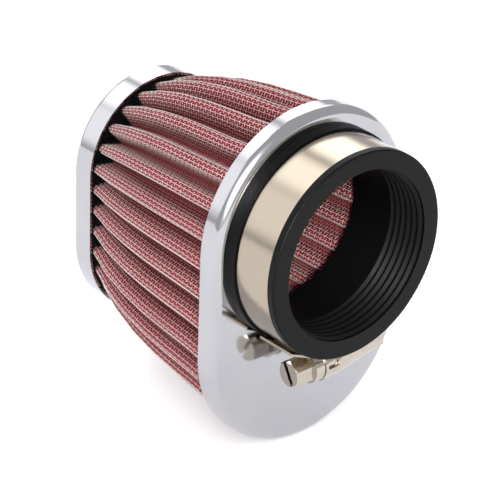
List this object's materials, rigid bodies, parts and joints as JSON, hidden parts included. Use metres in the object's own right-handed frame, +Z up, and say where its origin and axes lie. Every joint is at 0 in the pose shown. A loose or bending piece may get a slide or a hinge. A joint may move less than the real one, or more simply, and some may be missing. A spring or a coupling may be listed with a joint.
{
  "type": "oval tapered clamp-on air filter",
  "caption": "Oval tapered air filter with a pleated red gauze element between wire meshes, two bright pressed end caps and an offset rubber neck with a worm-drive clamp.",
  "frame": {"origin": "on the neck's axis, in the plane of the front cap's outer face", "axes": "-Y along the neck's axis and out of its mouth, +Z up along the oval's height, +X to the right seen from the mouth"},
  "size_m": [0.0784, 0.1012, 0.1128],
  "materials": {
    "chrome_sheet": "polished",
    "neck_rubber": "satin",
    "black_potting": "matte",
    "wire_mesh": "satin",
    "red_gauze": "matte",
    "clamp_steel": "bright"
  },
  "bodies": {
    "filter": {"front_end_cap": "chrome_sheet", "rear_end_cap": "chrome_sheet", "rubber_neck": "neck_rubber", "front_potting": "black_potting", "rear_potting": "black_potting", "outer_wire_mesh": "wire_mesh", "cotton_gauze": "red_gauze", "inner_wire_mesh": "wire_mesh", "clamp_band": "clamp_steel", "clamp_housing": "clamp_steel"},
    "screw": {"clamp_screw": "clamp_steel"}
  },
  "joints": [
    {"name": "screw_turn", "type": "hinge", "parent": "filter", "child": "screw", "pos_m": [-0.0065, -0.01, -0.0395], "axis": [1, 0, 0], "continuous": true}
  ]
}
